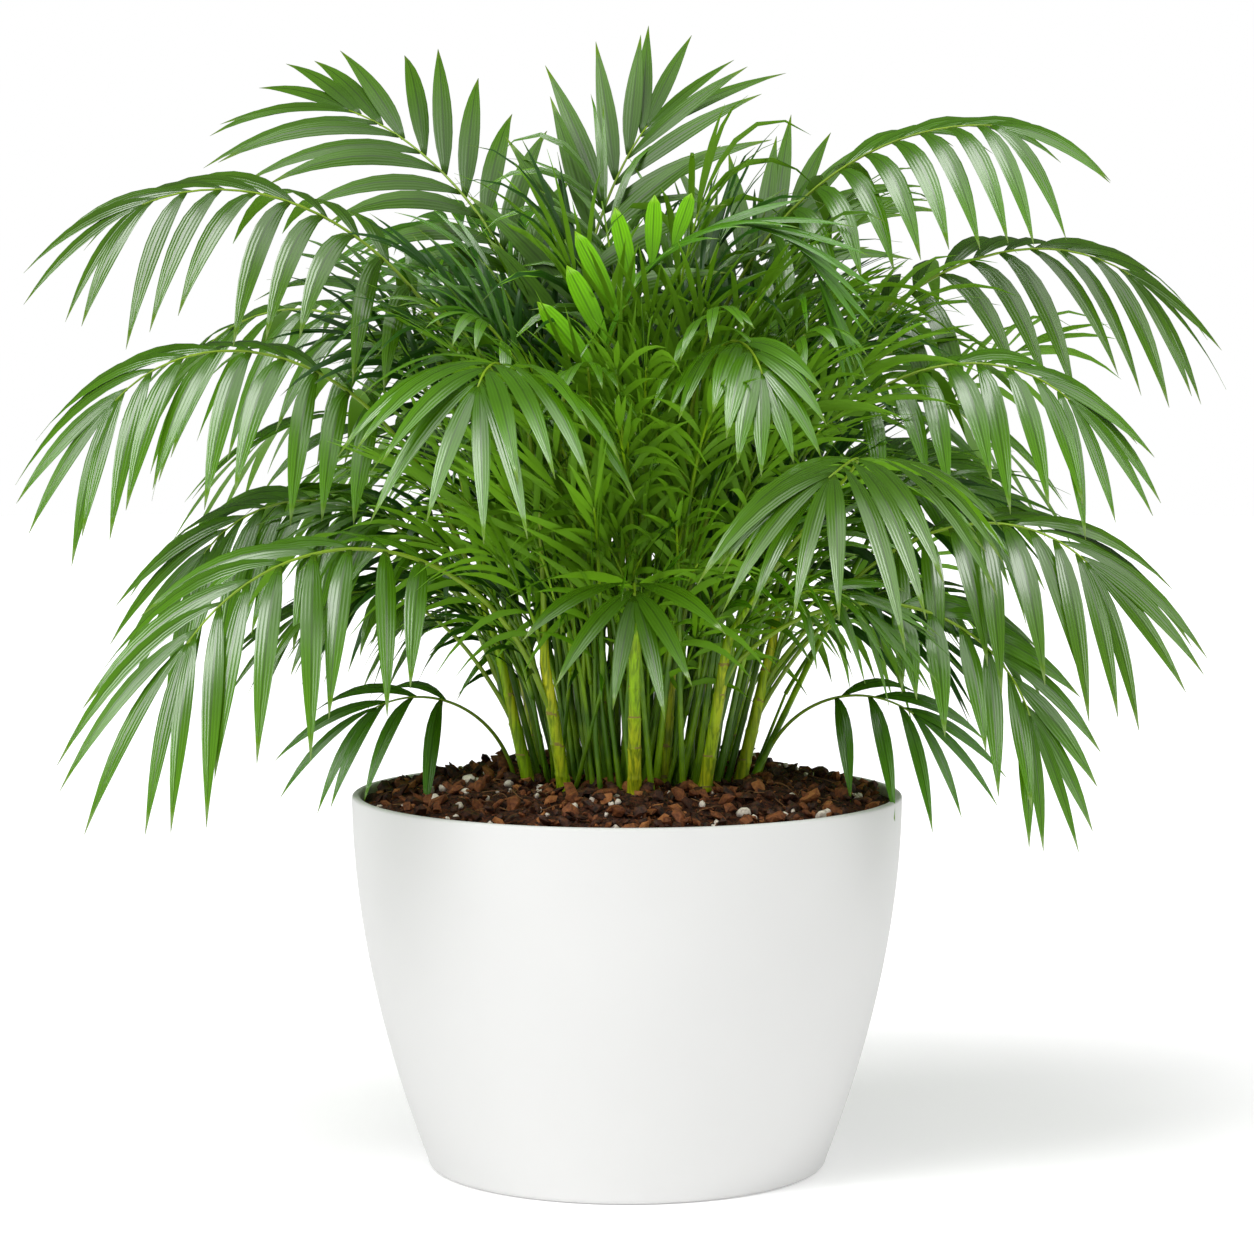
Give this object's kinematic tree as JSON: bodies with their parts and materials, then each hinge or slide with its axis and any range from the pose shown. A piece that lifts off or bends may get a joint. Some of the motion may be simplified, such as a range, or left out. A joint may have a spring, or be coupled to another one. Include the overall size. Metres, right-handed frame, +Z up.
{
  "type": "potted cat palm",
  "caption": "Indoor cat palm in a plain round pot: a clump of ringed green canes with arching feather fronds.",
  "frame": {"origin": "middle of the pot's flat underside", "axes": "+Z up along the pot's axis, -Y the front that the picture shows, +X to the right of that view"},
  "size_m": [0.6409, 0.6147, 0.6288],
  "materials": {
    "pot": "smooth satin white moulded plastic",
    "soil": "damp dark bark mix with pale perlite grains",
    "cane": "smooth yellow-green cane with brown ring scars",
    "frond": "satin deep green leaflets, lighter where young"
  },
  "bodies": {
    "root": {"pot": "pot", "soil": "soil", "cane_outer_1": "cane", "cane_outer_2": "cane", "cane_outer_3": "cane", "cane_outer_4": "cane", "cane_outer_5": "cane", "cane_outer_6": "cane", "cane_outer_7": "cane", "cane_outer_8": "cane", "cane_outer_9": "cane", "cane_inner_1": "cane", "cane_inner_2": "cane", "cane_inner_3": "cane", "cane_inner_4": "cane", "cane_inner_5": "cane", "cane_inner_6": "cane", "cane_middle_1": "cane", "frond_left_top": "frond", "frond_back_top": "frond", "frond_right_top": "frond", "frond_left_high": "frond", "frond_left_mid": "frond", "frond_front_left": "frond", "frond_left_low": "frond", "frond_front_right": "frond", "frond_right_high": "frond", "frond_right_mid": "frond", "frond_right_inner": "frond", "frond_right_low": "frond", "frond_right_lowest": "frond", "frond_front_small": "frond", "frond_young": "frond", "frond_front_high": "frond", "frond_left_back": "frond", "frond_left_inner": "frond", "frond_back_high": "frond", "frond_right_back": "frond", "frond_back_left": "frond", "frond_sucker_right": "frond", "frond_sucker_left": "frond", "frond_back_1": "frond", "frond_back_2": "frond", "frond_back_3": "frond", "frond_back_4": "frond", "frond_back_5": "frond", "frond_back_6": "frond", "frond_front_1": "frond", "frond_front_2": "frond", "frond_front_3": "frond", "frond_front_4": "frond", "frond_heart_1": "frond", "frond_heart_2": "frond", "frond_heart_3": "frond", "frond_low_1": "frond", "frond_low_2": "frond", "frond_low_3": "frond", "frond_low_4": "frond", "frond_low_5": "frond"}
  },
  "joints": []
}
